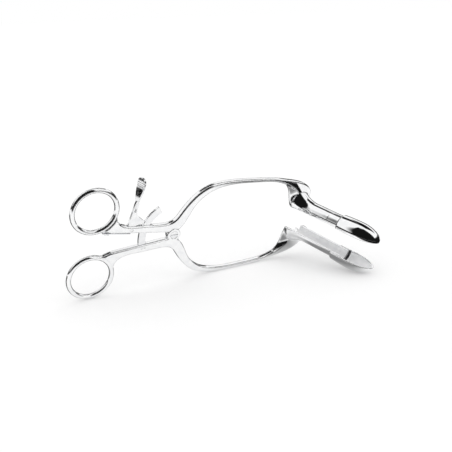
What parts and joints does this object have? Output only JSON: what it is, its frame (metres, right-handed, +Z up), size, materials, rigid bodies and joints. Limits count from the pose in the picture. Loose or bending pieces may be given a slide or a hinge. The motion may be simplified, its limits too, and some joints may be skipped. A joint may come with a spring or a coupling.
{
  "type": "anal speculum",
  "caption": "Self-holding speculum with finger rings, bowed levers joined by a hinge screw, a toothed arc with a release lever, and half-round blades with scoop tips.",
  "frame": {"origin": "bottom centre of the bounding box, on the table that the instrument rests on, standing on its lower ring, lower bow and lower blade tip", "axes": "+X from the finger rings to the blades, +Z up, -Y the side that the blades point to; the plane of the handles leans back from upright"},
  "size_m": [0.2062, 0.0796, 0.0821],
  "materials": {
    "lever_steel": "mirror polished stainless steel",
    "blade_steel": "mirror polished stainless steel",
    "ratchet_steel": "polished stainless steel",
    "pin_steel": "polished stainless steel",
    "spring_steel": "finely ground spring steel"
  },
  "bodies": {
    "lower_lever": {"lower_frame": "lever_steel", "lower_blade_tip": "blade_steel", "ratchet_rack": "ratchet_steel", "rack_rivet_inner": "pin_steel", "rack_rivet_outer": "pin_steel"},
    "upper_lever": {"upper_frame": "lever_steel", "upper_blade_tip": "blade_steel", "pivot_screw": "pin_steel", "lever_pin": "pin_steel", "leaf_spring": "spring_steel", "spring_screw": "pin_steel"},
    "ratchet_release": {"release_lever": "ratchet_steel"}
  },
  "joints": [
    {"name": "lever_hinge", "type": "hinge", "parent": "lower_lever", "child": "upper_lever", "pos_m": [-0.0272, 0.02836, 0.0374], "axis": [-0.0114, -0.9688, -0.2476], "range_deg": [-8, 14.5]},
    {"name": "release_hinge", "type": "hinge", "parent": "upper_lever", "child": "ratchet_release", "pos_m": [-0.05899, 0.02625, 0.04713], "axis": [-0.0114, -0.9688, -0.2476], "range_deg": [0, 7], "stiffness_Nm_per_rad": 0.05, "springref_deg": -5.73}
  ]
}
